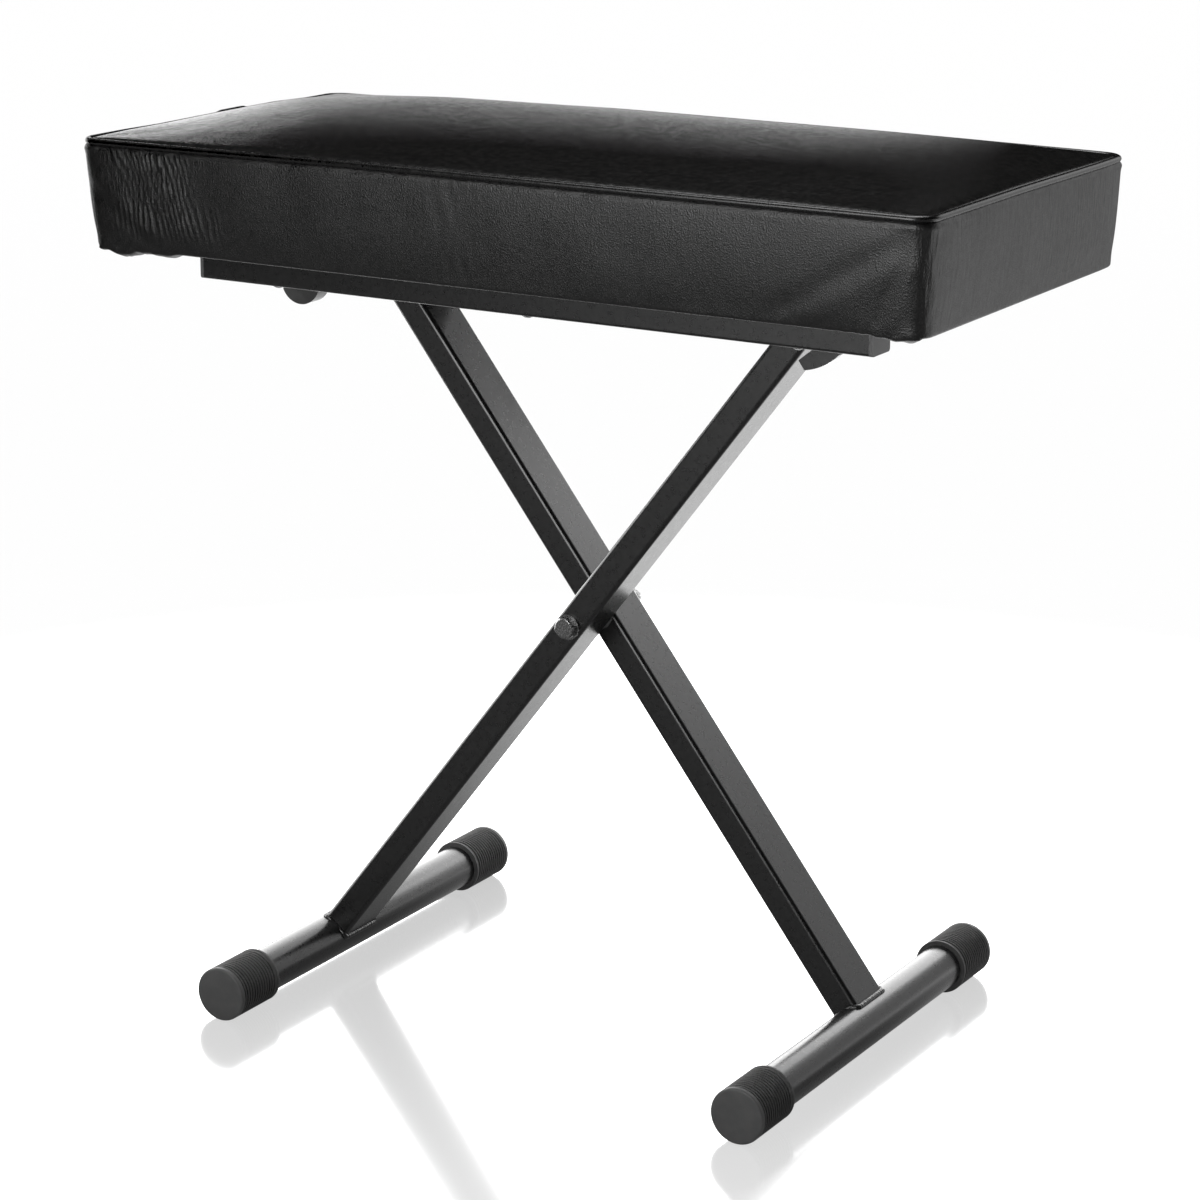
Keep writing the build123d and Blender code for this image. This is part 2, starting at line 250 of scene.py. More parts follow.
def meshFrom(name, points, faces, material):
    mesh = bpy.data.meshes.new(name)
    mesh.from_pydata([tuple(p) for p in points], [], [tuple(f) for f in faces])
    mesh.materials.append(material)
    mesh.polygons.foreach_set("use_smooth", [True] * len(mesh.polygons))
    mesh.update()
    return mesh


def readRows(rows, name):
    flat = np.zeros(len(rows) * 3)
    rows.foreach_get(name, flat)
    return flat.reshape(-1, 3)


def readPoints(mesh):
    return readRows(mesh.vertices, "co")


def writePoints(mesh, points):
    mesh.vertices.foreach_set("co", np.ascontiguousarray(points, dtype=np.float32).ravel())
    mesh.update()


def mark(mesh, name, values):
    # an attribute of the mesh that its material reads
    layer = mesh.attributes.new(name, "FLOAT", "POINT")
    layer.data.foreach_set("value", np.asarray(values, dtype=np.float32))


def applyModifiers(thing):
    depsgraph = bpy.context.evaluated_depsgraph_get()
    mesh = bpy.data.meshes.new_from_object(thing.evaluated_get(depsgraph))
    thing.modifiers.clear()
    thing.data = mesh
    return thing


def handOver(thing, body, slot, *replaced):
    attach(thing, body)
    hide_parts(*replaced)


def middleOf(name):
    low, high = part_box(name)
    return (low + high) / 2


def smoothStep(low, high, value):
    t = np.clip((value - low) / (high - low), 0, 1)
    return t * t * (3 - 2 * t)


def hump(distance, width):
    return np.exp(-(distance / width) ** 2)


def span(value, low, high, soft):
    return smoothStep(low, low + soft, value) * (1 - smoothStep(high - soft, high, value))


seedSteps = (3.7, 1.9, 5.3)


def noiseAt(points, scale, seed):
    shift = Vector([seed * step for step in seedSteps])
    return np.array([noise.noise(Vector(p) * scale + shift) for p in points])


# the seam sinks towards the back, more at the left end than at the right
seamDial = {"leftAt": (-0.145, -0.100, -0.060, 0.027, 0.070, 0.106, 0.145),
            "leftDrop": (0.0014, 0.0018, 0.0027, 0.0029, 0.0034, 0.0050, 0.0055), "leftEnd": -0.05,
            "rightAt": (-0.145, -0.015, 0.080, 0.145), "rightDrop": (0.0, 0.0, 0.0010, 0.0012),
            "rightEnd": 0.1, "reach": 0.3}


def seamDrop(x, y, dial=seamDial):
    left = np.interp(y, dial["leftAt"], dial["leftDrop"])
    right = np.interp(y, dial["rightAt"], dial["rightDrop"])
    leftShare = 1 - smoothStep(-dial["reach"], dial["leftEnd"], x)
    return left * leftShare + right * smoothStep(dial["rightEnd"], dial["reach"], x)


# the stuffed cover stands a little proud of its board, more at the front and the left
spreadDial = {"grow": 0.0032, "shift": -0.0011, "below": 0.55, "pull": 0.0012, "pullReach": 0.016}


def spread(points, tall, dial=spreadDial):
    edgeX, edgeY = seamPlace()[:2]
    share = dial["below"] + (1 - dial["below"]) * np.clip(tall, 0, 1)
    points[:, 0] += share * (dial["grow"] * points[:, 0] / edgeX + dial["shift"])
    points[:, 1] += share * (dial["grow"] * points[:, 1] / edgeY + dial["shift"])
    # the back right corner is the roundest
    fromCorner = np.hypot(points[:, 0] - edgeX, points[:, 1] - edgeY)
    pulled = share * dial["pull"] * hump(fromCorner, dial["pullReach"])
    points[:, 0] -= pulled
    points[:, 1] -= pulled


cushionDial = {
    "cell": 0.006, "fineCell": 0.0017, "gather": (-0.290, -0.190), "corner": 0.0120, "cornerCells": 5,
    "foot": 0.0010, "bottomRound": 0.0025, "startCrown": 0.82, "flatPart": 0.157, "crownPower": 2.1,
    "tuck": 0.0020, "bandRows": (0.12, 0.22, 0.33, 0.44, 0.55, 0.66, 0.76, 0.84, 0.895),
    "seamRows": (0.925, 0.945, 0.962, 0.98), "bandAt": (0.05, 0.25, 0.5, 0.75, 0.88, 0.93, 0.955, 0.97, 1.0),
    "bandInset": (0.0010, -0.0006, -0.0015, -0.0021, -0.0023, -0.0022, -0.0019, -0.0012, 0.0012),
    "lipGap": 0.0004, "lipTuck": 0.0006, "lap": 0.0003, "hemStep": 0.002, "hemFlat": 0.006, "roundRows": 5,
    "slack": 0.0006, "pressure": 4.0, "frames": 20, "bandCap": 0.0012, "topCap": 0.006, "unevenness": 0.0005,
    "puff": 0.0022, "puffRise": 0.0025, "puffReach": 0.03, "calmReach": 0.004, "fill": 0.9,
}
clothDial = {"quality": 6, "mass": 0.3, "tension_stiffness": 12, "compression_stiffness": 12,
             "shear_stiffness": 4, "bending_stiffness": 0.6, "use_pressure": True}


def spacedLine(half, dial):
    # places from -1 to 1, closer together where the cover is gathered
    low, high = dial["gather"]
    places = [-half]
    while places[-1] < half:
        places.append(places[-1] + (dial["fineCell"] if low < places[-1] < high else dial["cell"]))
    places = np.array(places)
    return 2 * (places - places[0]) / (places[-1] - places[0]) - 1


def gridLine(half, corner, cells, inner):
    ends = [corner * i / cells for i in range(cells)]
    first, last = [-half + e for e in ends], [half - e for e in ends[::-1]]
    return np.concatenate([first, inner * (half - corner), last])


def roundedGrid(halfX, halfY, corner, inner, cells):
    # a grid over a rectangle whose corner cells bend round a quarter circle
    lineX = gridLine(halfX, corner, cells, inner[0])
    lineY = gridLine(halfY, corner, cells, inner[1])
    gx, gy = np.meshgrid(lineX, lineY, indexing="ij")
    p = np.clip((np.abs(gx) - halfX + corner) / corner, 0, 1)
    q = np.clip((np.abs(gy) - halfY + corner) / corner, 0, 1)
    inCorner = (p > 0) & (q > 0)
    bentX = np.sign(gx) * (halfX - corner + corner * p * np.sqrt(1 - q * q / 2))
    bentY = np.sign(gy) * (halfY - corner + corner * q * np.sqrt(1 - p * p / 2))
    return np.where(inCorner, bentX, gx), np.where(inCorner, bentY, gy)


def rimOf(gx):
    nx, ny = gx.shape[0] - 1, gx.shape[1] - 1
    rim = [(i, 0) for i in range(nx)] + [(nx, j) for j in range(ny)]
    return rim + [(i, ny) for i in range(nx, 0, -1)] + [(0, j) for j in range(ny, 0, -1)]


def seamPlace():
    low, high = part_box("seat_piping")
    radius = (high.z - low.z) / 2
    return high.x - radius, high.y - radius, (high.z + low.z) / 2, radius


def cushionShape(dial):
    edgeX, edgeY, seam, radius = seamPlace()
    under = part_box("seat_band")[0].z
    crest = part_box("seat_top_panel")[1].z
    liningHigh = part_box("seat_lining")[1]
    corner, cells = dial["corner"], dial["cornerCells"]
    evenY = np.linspace(-1, 1, round(2 * (edgeY - corner) / dial["cell"]) + 1)
    inner = (spacedLine(edgeX - corner, dial), evenY)
    points, faces, loops, held = [], [], [], []

    def addGrid(inset, height, flip, crown=0.0):
        gx, gy = roundedGrid(edgeX - inset, edgeY - inset, corner, inner, cells)
        u = np.clip((np.abs(gx) - dial["flatPart"]) / (edgeX - dial["flatPart"]), 0, 1)
        v = np.abs(gy) / edgeY
        rise = (1 - u ** dial["crownPower"]) * (1 - v ** dial["crownPower"])
        gz = height + crown * np.clip(rise, 0, 1)
        index = len(points) + np.arange(gx.size).reshape(gx.shape)
        points.extend(np.stack([gx, gy, gz], -1).reshape(-1, 3))
        for i in range(gx.shape[0] - 1):
            for j in range(gx.shape[1] - 1):
                face = (index[i, j], index[i + 1, j], index[i + 1, j + 1], index[i, j + 1])
                faces.append(face[::-1] if flip else face)
        loops.append([index[i, j] for i, j in rimOf(gx)])

    def addLoop(inset, height, still):
        gx, gy = roundedGrid(edgeX - inset, edgeY - inset, corner, inner, cells)
        rim = rimOf(gx)
        loops.append(list(range(len(points), len(points) + len(rim))))
        points.extend((gx[i, j], gy[i, j], height) for i, j in rim)
        if still:
            held.extend(loops[-1])

    height, turn, foot = seam - under, dial["bottomRound"], dial["foot"]
    lip = edgeX - liningHigh.x - dial["lipGap"]
    addGrid(lip + dial["lipTuck"], liningHigh.z - dial["lap"], True)
    held.extend(range(len(points)))
    addLoop(lip, under + dial["lipGap"], True)
    for inset in (lip - dial["hemStep"], foot + turn + dial["hemFlat"]):
        addLoop(inset, under, True)
    for angle in np.linspace(0, math.pi / 2, dial["roundRows"]):
        addLoop(foot + turn * (1 - math.sin(angle)), under + turn * (1 - math.cos(angle)), True)
    for t in dial["bandRows"]:
        addLoop(np.interp(t, dial["bandAt"], dial["bandInset"]) + dial["slack"], under + height * t, False)
    for t in dial["seamRows"]:
        addLoop(np.interp(t, dial["bandAt"], dial["bandInset"]), under + height * t, True)
    topStart = len(points)
    addGrid(dial["tuck"], seam, False, (crest - seam) * dial["startCrown"])
    held.extend(loops[-1])
    for lower, upper in zip(loops, loops[1:]):
        for k in range(len(lower)):
            m = (k + 1) % len(lower)
            faces.append((lower[k], lower[m], upper[m], upper[k]))
    return np.array(points), faces, held, topStart, seam, under, crest


def swell(thing, held, dial, topStart, crest):
    # the padding pushes the cover out between its seams
    group = thing.vertex_groups.new(name="held")
    group.add([int(i) for i in held], 1.0, "REPLACE")
    cloth = thing.modifiers.new("swell", "CLOTH")
    settings = cloth.settings
    for name, value in clothDial.items():
        setattr(settings, name, value)
    settings.uniform_pressure_force = dial["pressure"]
    settings.effector_weights.gravity = 0
    settings.vertex_group_mass = "held"
    cloth.point_cache.frame_start = 1
    cloth.point_cache.frame_end = dial["frames"]
    for number in range(1, dial["frames"] + 1):
        scene.frame_set(number)
    solved = thing.evaluated_get(bpy.context.evaluated_depsgraph_get()).to_mesh()
    start, end = readPoints(thing.data), readPoints(solved)
    scene.frame_set(1)
    thing.modifiers.remove(cloth)
    thing.vertex_groups.clear()
    move = end - start
    length = np.linalg.norm(move, axis=1, keepdims=True)
    cap = np.full((len(start), 1), dial["bandCap"])
    cap[topStart:] = dial["topCap"]
    shape = start + move * np.minimum(1, cap / np.maximum(length, 1e-9))
    tall = shape[topStart:, 2]
    base = start[topStart:, 2].min()
    shape[topStart:, 2] = base + (tall - base) * (crest - base) / (tall.max() - base)
    writePoints(thing.data, shape)
    print("cover swelled: most", round(float(length.max()) * 1000, 2), "mm")


def foldLine(x, z, start, end, width, ends):
    # signed distance from a fold, and how strongly it shows along its length
    direction = np.array([end[0] - start[0], end[1] - start[1]])
    length = np.linalg.norm(direction)
    direction /= length
    along = ((x - start[0]) * direction[0] + (z - start[1]) * direction[1]) / length
    away = (x - start[0]) * -direction[1] + (z - start[1]) * direction[0]
    return away / width, span(along, *ends)


creaseDial = {
    "folds": [((-0.297, 0.561), (-0.240, 0.514), 0.007, 0.0006),
              ((0.292, 0.571), (0.200, 0.516), 0.010, 0.0008),
              ((0.291, 0.566), (0.268, 0.514), 0.006, 0.0006)],
    "foldCrest": (0.7, 0.8, 0.9), "foldValley": (-0.3, 0.6), "foldEnds": (-0.05, 1.05, 0.2),
    "bandFoot": (0.02, 0.12), "bandHead": (0.9, 0.99), "frontEdge": (0.008, 0.003), "sideEdge": (0.009, 0.004),
    "ridgePitch": 0.0044, "ridgeLean": 0.31, "ridgeWander": 0.006, "ridgeKink": 0.0011, "ridgeDepth": 0.0014,
    "ridgeSharp": 5.0, "ridgeVary": (0.75, 0.5), "ridgeSpan": (-0.284, -0.204, 0.022),
    "ridgeTall": (0.12, 0.99, 0.15), "faintSpan": (-0.222, -0.186, 0.01), "faintTall": (0.1, 0.55, 0.15),
    "faintShare": 0.5, "wanderNoise": (45, 1), "kinkNoise": (170, 4), "unevenNoise": (28, 2), "unevenFoot": 0.1,
    "waveSpan": (-0.040, 0.012, 0.018), "frontWaves": (0.0085, 0.00016), "sideWaves": (0.0068, 0.00012),
    "waveWander": 0.006, "sideFar": 0.35, "sideNear": (0.02, 0.12),
    "grooveAt": 0.945, "grooveWidth": 0.016, "grooveDepth": 0.0004, "grooveBase": 0.5, "grooveNoise": (110, 3),
    "sags": [(-0.284, -0.226, -0.131, 0.0040), (0.262, 0.295, -0.131, 0.0036),
             (-0.300, -0.262, -0.138, 0.0026)],
    "sagWidth": 0.009, "sagSoft": 0.012, "sagRipple": 0.031, "sagVary": 0.15,
    "pleats": 26, "pleatDepth": 0.0006, "pleatAt": (0.282, 0.126), "pleatFrom": (0.255, 0.10),
    "pleatReach": 0.028, "pleatInset": 0.006, "underside": 0.0012, "topFrom": 0.999, "rimPower": 3,
    "panelSoft": 0.0003, "fibreSide": (0.35, 0.2), "fibreNear": (0.05, 0.13), "fibreFront": (0.1, 0.2),
}


def creased(mesh, seam, under, cushion, dial):
    points = readPoints(mesh)
    normals = readRows(mesh.vertex_normals, "vector")
    x, y, z = points.T
    wideX, wideY = np.abs(x), np.abs(y)
    edgeX, edgeY = seamPlace()[:2]
    tall = (z - under) / (seam - under)
    onTop, below = tall >= dial["topFrom"], z < under + dial["underside"]
    onBand = smoothStep(*dial["bandFoot"], tall) * (1 - smoothStep(*dial["bandHead"], tall))
    wander = noiseAt(points, *dial["wanderNoise"])

    def nearEdge(edge, reach, value):
        return smoothStep(edge - reach[0], edge - reach[1], value) * onBand

    def waves(along, pitch, depth):
        return depth * np.sin(2 * math.pi * (along + dial["waveWander"] * wander) / pitch)

    front = nearEdge(edgeY, dial["frontEdge"], -y)
    side = nearEdge(edgeX, dial["sideEdge"], wideX)
    lift = np.zeros(len(points))
    rise, crest, broad = dial["foldCrest"]
    valley, narrow = dial["foldValley"]
    for start, end, width, depth in dial["folds"]:
        away, fade = foldLine(x, z, start, end, width, dial["foldEnds"])
        lift += front * fade * depth * (rise * hump(away - crest, broad) - hump(away - valley, narrow))
    kinks = dial["ridgeWander"] * wander + dial["ridgeKink"] * noiseAt(points, *dial["kinkNoise"])
    place = (x + dial["ridgeLean"] * (z - under) + kinks) / dial["ridgePitch"]
    ridge = (2 * np.abs(place % 1 - 0.5)) ** dial["ridgeSharp"]
    gathered = span(x, *dial["ridgeSpan"]) * span(tall, *dial["ridgeTall"])
    gathered += dial["faintShare"] * span(x, *dial["faintSpan"]) * span(tall, *dial["faintTall"])
    least, more = dial["ridgeVary"]
    lift += front * gathered * dial["ridgeDepth"] * ridge * (least + more * wander)
    lift += front * span(x, *dial["waveSpan"]) * waves(x, *dial["frontWaves"])
    nearFront = dial["sideFar"] + (1 - dial["sideFar"]) * smoothStep(*dial["sideNear"], -y)
    lift += side * nearFront * waves(y, *dial["sideWaves"])
    sewn = smoothStep(0.0, dial["unevenFoot"], tall) * (tall < dial["bandHead"][1])
    lift += sewn * cushion["unevenness"] * noiseAt(points, *dial["unevenNoise"])
    groove = hump(tall - dial["grooveAt"], dial["grooveWidth"]) * dial["grooveDepth"]
    lift -= groove * (dial["grooveBase"] + noiseAt(points, *dial["grooveNoise"]))
    (atX, atY), (fromX, fromY) = dial["pleatAt"], dial["pleatFrom"]
    cornerward = hump(wideX - atX, dial["pleatReach"]) * hump(wideY - atY, dial["pleatReach"])
    angle = np.arctan2(wideY - fromY, wideX - fromX)
    inside = below * (wideX < edgeX - dial["pleatInset"])
    lift += cornerward * inside * dial["pleatDepth"] * (np.sin(angle * dial["pleats"]) + 1)
    moved = points + normals * lift[:, None]
    ripple = 1 - dial["sagVary"] + dial["sagVary"] * np.sin(2 * math.pi * x / dial["sagRipple"])
    for low, high, middle, drop in dial["sags"]:
        reach = span(x, low, high, dial["sagSoft"]) * hump(y - middle, dial["sagWidth"])
        moved[:, 2] -= below * drop * ripple * reach
    fromRim = np.clip(np.minimum(edgeX - wideX, edgeY - wideY) - cushion["tuck"], 0, None)
    puff = (1 - np.exp(-fromRim / cushion["puffRise"])) * np.exp(-fromRim / cushion["puffReach"])
    moved[:, 2] += np.where(onTop, cushion["puff"] * puff, 0)
    rim = np.maximum(wideX / edgeX, wideY / edgeY) ** dial["rimPower"]
    share = np.where(tall < 1, np.clip(tall, 0, 1), rim)
    moved[:, 2] -= seamDrop(x, y) * share
    spread(moved, tall)
    writePoints(mesh, moved)
    least, more = dial["fibreSide"]
    fibre = side * (least + more * smoothStep(*dial["fibreNear"], -y))
    least, more = dial["fibreFront"]
    mark(mesh, "panel", smoothStep(seam - dial["panelSoft"], seam + dial["panelSoft"], z))
    mark(mesh, "calm", onTop * np.exp(-fromRim / cushion["calmReach"]))
    mark(mesh, "fibre", fibre + front * (least + more * gathered))


def makeCushion(dial):
    points, faces, held, topStart, seam, under, crest = cushionShape(dial)
    cushion = plainObject("seatCushion", meshFrom("seatCushion", points, faces, vinyl))
    swell(cushion, held, dial, topStart, crest)
    smoother = cushion.modifiers.new("finer", "SUBSURF")
    smoother.levels = smoother.render_levels = 1
    applyModifiers(cushion)
    creased(cushion.data, seam, under, dial, creaseDial)
    handOver(cushion, "seat", "black_vinyl", "seat_band", "seat_top_panel", "seat_foam")
    print("cushion made:", len(cushion.data.polygons), "faces")


def growTree(name, inputs):
    # a geometry tree with named inputs; gives its flow, the input flows and their identifiers
    tree = bpy.data.node_groups.new(name, "GeometryNodeTree")
    tree.interface.new_socket(name="Geometry", in_out="INPUT", socket_type="NodeSocketGeometry")
    tree.interface.new_socket(name="Geometry", in_out="OUTPUT", socket_type="NodeSocketGeometry")
    keys = {}
    for label, kind in {**inputs, "Coat": "Material"}.items():
        item = tree.interface.new_socket(name=label, in_out="INPUT", socket_type="NodeSocket" + kind)
        keys[label] = item.identifier
    entry = tree.nodes.new("NodeGroupInput")
    sockets = {out.name: Flow(tree, out) for out in entry.outputs if out.name}
    return Flow(tree), sockets, keys


def joined(flow, *shapes):
    meeting = flow.tree.nodes.new("GeometryNodeJoinGeometry")
    for shape in shapes:
        flow.feed(meeting.inputs[0], shape)
    return Flow(flow.tree, meeting.outputs[0])


def closeTree(flow, shape, sockets, keys):
    real = flow.add("GeometryNodeRealizeInstances", None, {0: shape})
    coated = flow.add("GeometryNodeSetMaterial", None, {0: real, "Material": sockets["Coat"]})
    leave = flow.tree.nodes.new("NodeGroupOutput")
    flow.feed(leave.inputs[0], coated)
    return flow.tree, keys


def circle(flow, around, radius):
    return flow.add("GeometryNodeCurvePrimitiveCircle", None, {"Resolution": around, "Radius": radius})


def evenPath(flow, sockets):
    curve = flow.add("GeometryNodeMeshToCurve", None, {0: sockets["Geometry"]})
    return flow.add("GeometryNodeResampleCurve", {"mode": "LENGTH"}, {0: curve, "Length": sockets["Spacing"]})


def grown(name, source, made, values):
    tree, keys = made
    holder = plainObject(name, source)
    growth = holder.modifiers.new("grow", "NODES")
    growth.node_group = tree
    for label, value in values.items():
        growth[keys[label]] = value
    return applyModifiers(holder)


def closedPath(name, path):
    mesh = bpy.data.meshes.new(name)
    mesh.from_pydata(path, [(k, (k + 1) % len(path)) for k in range(len(path))], [])
    return mesh


pipingDial = {"spacing": 0.0028, "wobble": 0.00008, "wander": 42.0, "around": 14, "cells": 6,
              "along": (190, 90), "spliceSpan": (0.004, 0.036, 0.003), "spliceDepth": 0.01,
              "spliceLift": 0.0005, "spliceGrow": 0.22, "shine": 0.8, "calm": 0.7}


def pipingTree(dial):
    inputs = {"Radius": "Float", "Spacing": "Float", "Wobble": "Float", "Around": "Int"}
    flow, sockets, keys = growTree("pipingCord", inputs)
    even = evenPath(flow, sockets)
    wander = flow.add("ShaderNodeTexNoise", None, {"Scale": dial["wander"], "Detail": 2.0}, out=1)
    centred = flow.add("ShaderNodeVectorMath", {"operation": "SUBTRACT"}, {0: wander, 1: (0.5, 0.5, 0.5)})
    shift = flow.add("ShaderNodeVectorMath", {"operation": "SCALE"},
                     {0: centred, "Scale": sockets["Wobble"] * 2.0})
    moved = flow.add("GeometryNodeSetPosition", None, {0: even, "Offset": shift})
    ring = circle(flow, sockets["Around"], sockets["Radius"])
    swept = flow.add("GeometryNodeCurveToMesh", None, {0: moved, "Profile Curve": ring})
    smooth = flow.add("GeometryNodeSetShadeSmooth", None, {0: swept})
    return closeTree(flow, smooth, sockets, keys)


def makePiping(dial):
    edgeX, edgeY, seam, radius = seamPlace()
    inner = [np.linspace(-1, 1, count + 1) for count in dial["along"]]
    gx, gy = roundedGrid(edgeX, edgeY, cushionDial["corner"], inner, dial["cells"])
    path = [(gx[i, j], gy[i, j], seam - seamDrop(gx[i, j], gy[i, j])) for i, j in rimOf(gx)]
    values = {"Radius": radius, "Spacing": dial["spacing"], "Wobble": dial["wobble"],
              "Around": dial["around"], "Coat": vinyl}
    piping = grown("seatPiping", closedPath("seatPiping", path), pipingTree(dial), values)
    points = readPoints(piping.data)
    x, y, z = points.T
    middle = seam - seamDrop(x, y)
    splice = span(y, *dial["spliceSpan"]) * (x < -edgeX + dial["spliceDepth"])
    points[:, 0] = x + (x + edgeX) * dial["spliceGrow"] * splice
    points[:, 2] = z + ((z - middle) * dial["spliceGrow"] + dial["spliceLift"]) * splice
    spread(points, np.ones(len(points)))
    writePoints(piping.data, points)
    mark(piping.data, "panel", np.full(len(points), dial["shine"]))
    mark(piping.data, "calm", np.full(len(points), dial["calm"]))
    handOver(piping, "seat", "black_vinyl", "seat_piping")
    print("piping made:", len(piping.data.polygons), "faces")


makeCushion(cushionDial)
makePiping(pipingDial)


sharpTurn = 32.0


def outward(points, faces):
    # turns a closed shape's faces to point out
    total = 0.0
    for face in faces:
        for k in range(1, len(face) - 1):
            total += np.dot(points[face[0]], np.cross(points[face[k]], points[face[k + 1]]))
    return faces if total > 0 else [face[::-1] for face in faces]


def ringMesh(name, points, rings, material, origin=(0, 0, 0), sharp=sharpTurn):
    # a closed shape from rings of points, where a ring of one point is a tip
    points, faces = np.array(points), []
    for one, two in zip(rings, rings[1:]):
        count = max(len(one), len(two))
        for k in range(count):
            m = (k + 1) % count
            corners = (one[k % len(one)], one[m % len(one)], two[m % len(two)], two[k % len(two)])
            faces.append(tuple(dict.fromkeys(corners)))
    mesh = meshFrom(name, points + np.array(origin), outward(points, faces), material)
    mesh.set_sharp_from_angle(angle=math.radians(sharp))
    return mesh


def turned(name, profile, origin, way, material, segments, flats=None, turn=0.0, sharp=sharpTurn):
    # turns a profile of (distance, radius) about the Y axis; flats cuts it to a hexagon
    angles = np.linspace(0, 2 * math.pi, segments, endpoint=False)
    limit = np.full(segments, np.inf)
    if flats:
        limit = flats / 2 / np.cos((angles - turn) % (math.pi / 3) - math.pi / 6)
    points, rings = [], []
    for distance, radius in profile:
        y = way * distance
        rings.append(list(range(len(points), len(points) + (segments if radius else 1))))
        if not radius:
            points.append((0, y, 0))
            continue
        reach = np.minimum(limit, radius)
        points.extend((r * math.cos(a), y, r * math.sin(a)) for r, a in zip(reach, angles))
    return ringMesh(name, points, rings, material, origin, sharp)


def arcRows(centre, radius, start, end, count):
    # points of a rounded edge as (distance, radius) pairs, angles in degrees
    turns = np.radians(np.linspace(start, end, count))
    return [(centre[0] - radius * math.sin(t), centre[1] + radius * math.cos(t)) for t in turns]


def ribTree(beadAround=12):
    inputs = {"Count": "Int", "Start": "Vector", "Step": "Vector", "Radius": "Float", "Thickness": "Float",
              "Around": "Int"}
    flow, sockets, keys = growTree("ringRibs", inputs)
    row = flow.add("GeometryNodeMeshLine", None,
                   {"Count": sockets["Count"], "Start Location": sockets["Start"], "Offset": sockets["Step"]})
    path = circle(flow, sockets["Around"], sockets["Radius"])
    bead = circle(flow, beadAround, sockets["Thickness"])
    ring = flow.add("GeometryNodeCurveToMesh", None, {0: path, "Profile Curve": bead})
    upright = flow.add("GeometryNodeTransform", None, {0: ring, "Rotation": (math.pi / 2, 0, 0)})
    smooth = flow.add("GeometryNodeSetShadeSmooth", None, {0: upright})
    ribs = flow.add("GeometryNodeInstanceOnPoints", None, {"Points": row, "Instance": smooth})
    return closeTree(flow, joined(flow, sockets["Geometry"], ribs), sockets, keys)


capDial = {"edge": 0.0014, "edgeRows": 6, "disc": 0.5, "rim": 0.0036, "shoulder": 0.0004, "ribs": 13,
           "firstRib": 0.0054, "pitch": 0.00276, "ribRadius": 0.0008, "groove": 0.0009, "shallow": 0.00002,
           "ribShade": 0.35, "lip": 0.0016, "lipSlope": 0.7, "wall": 0.005, "clear": 0.00005, "around": 72}


def makeCap(made, node, tube, body, way, dial):
    low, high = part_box(node)
    tubeLow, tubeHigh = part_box(tube)
    radius, length = (high.x - low.x) / 2, high.y - low.y
    bore = (tubeHigh.x - tubeLow.x) / 2 + dial["clear"]
    edge, rim, lip, wall = (dial[part] for part in ("edge", "rim", "lip", "wall"))
    groove = radius - dial["groove"]
    origin = (middleOf(node).x, low.y if way > 0 else high.y, middleOf(node).z)
    profile = [(0.0, 0.0), (0.0, radius * dial["disc"])]
    profile += arcRows((edge, radius - edge), edge, 90, 0, dial["edgeRows"])
    profile += [(rim, radius), (rim + dial["shoulder"], groove), (length - lip, groove),
                (length - lip * dial["lipSlope"], radius), (length, radius), (length, bore), (wall, bore),
                (wall, 0.0)]
    plain = turned(made, profile, origin, way, rubber, dial["around"])
    start = (origin[0], origin[1] + way * dial["firstRib"], origin[2])
    values = {"Count": dial["ribs"], "Start": start, "Step": (0.0, way * dial["pitch"], 0.0),
              "Radius": radius - dial["ribRadius"], "Thickness": dial["ribRadius"], "Around": dial["around"],
              "Coat": rubber}
    cap = grown(made, plain, ribbed, values)
    # painted shade: darkest at the groove floors between the ribs, and ribShade of it over the rest of the
    # ribbed length
    x, y, z = (readPoints(cap.data) - origin).T
    deep = 1 - smoothStep(groove, radius - dial["shallow"], np.hypot(x, z))
    shade = dial["ribShade"] + (1 - dial["ribShade"]) * deep
    mark(cap.data, "groove", shade * (np.abs(y) > rim) * (np.abs(y) < length - lip))
    handOver(cap, body, "black_rubber", node)


ribbed = ribTree()
for footSide, footBody in (("left", "front_leg"), ("right", "rear_leg")):
    for footEnd, footWay in (("front", 1), ("rear", -1)):
        capName = footSide + footEnd.capitalize() + "Cap"
        capNode = footSide + "_foot_" + footEnd + "_cap"
        makeCap(capName, capNode, footSide + "_foot_tube", footBody, footWay, capDial)
print("foot caps made: 4")


boltDial = {"flats": 0.013, "turn": 13.0, "headHeight": 0.0053, "faceShare": 0.93, "slope": 30.0,
            "faceSharp": 29.0, "shank": 0.0039, "tip": 0.0008, "tipShare": 0.8, "thread": 0.00125, "threads": 7,
            "threadThick": 0.00045, "threadSink": 0.5, "threadAround": 32, "boreGap": 0.0001, "collar": 0.0021,
            "collarRadius": 0.0056, "collarEdge": 0.0008, "around": 96}


def hexEdge(flats, share, slope, count=5):
    # the cone that takes a hexagon's points off: how far back from the face, and the radius there
    face, point = flats / 2 * share, flats / math.sqrt(3)
    radii = np.linspace(face, point, count)
    return [((r - face) * math.tan(math.radians(slope)), r) for r in radii]


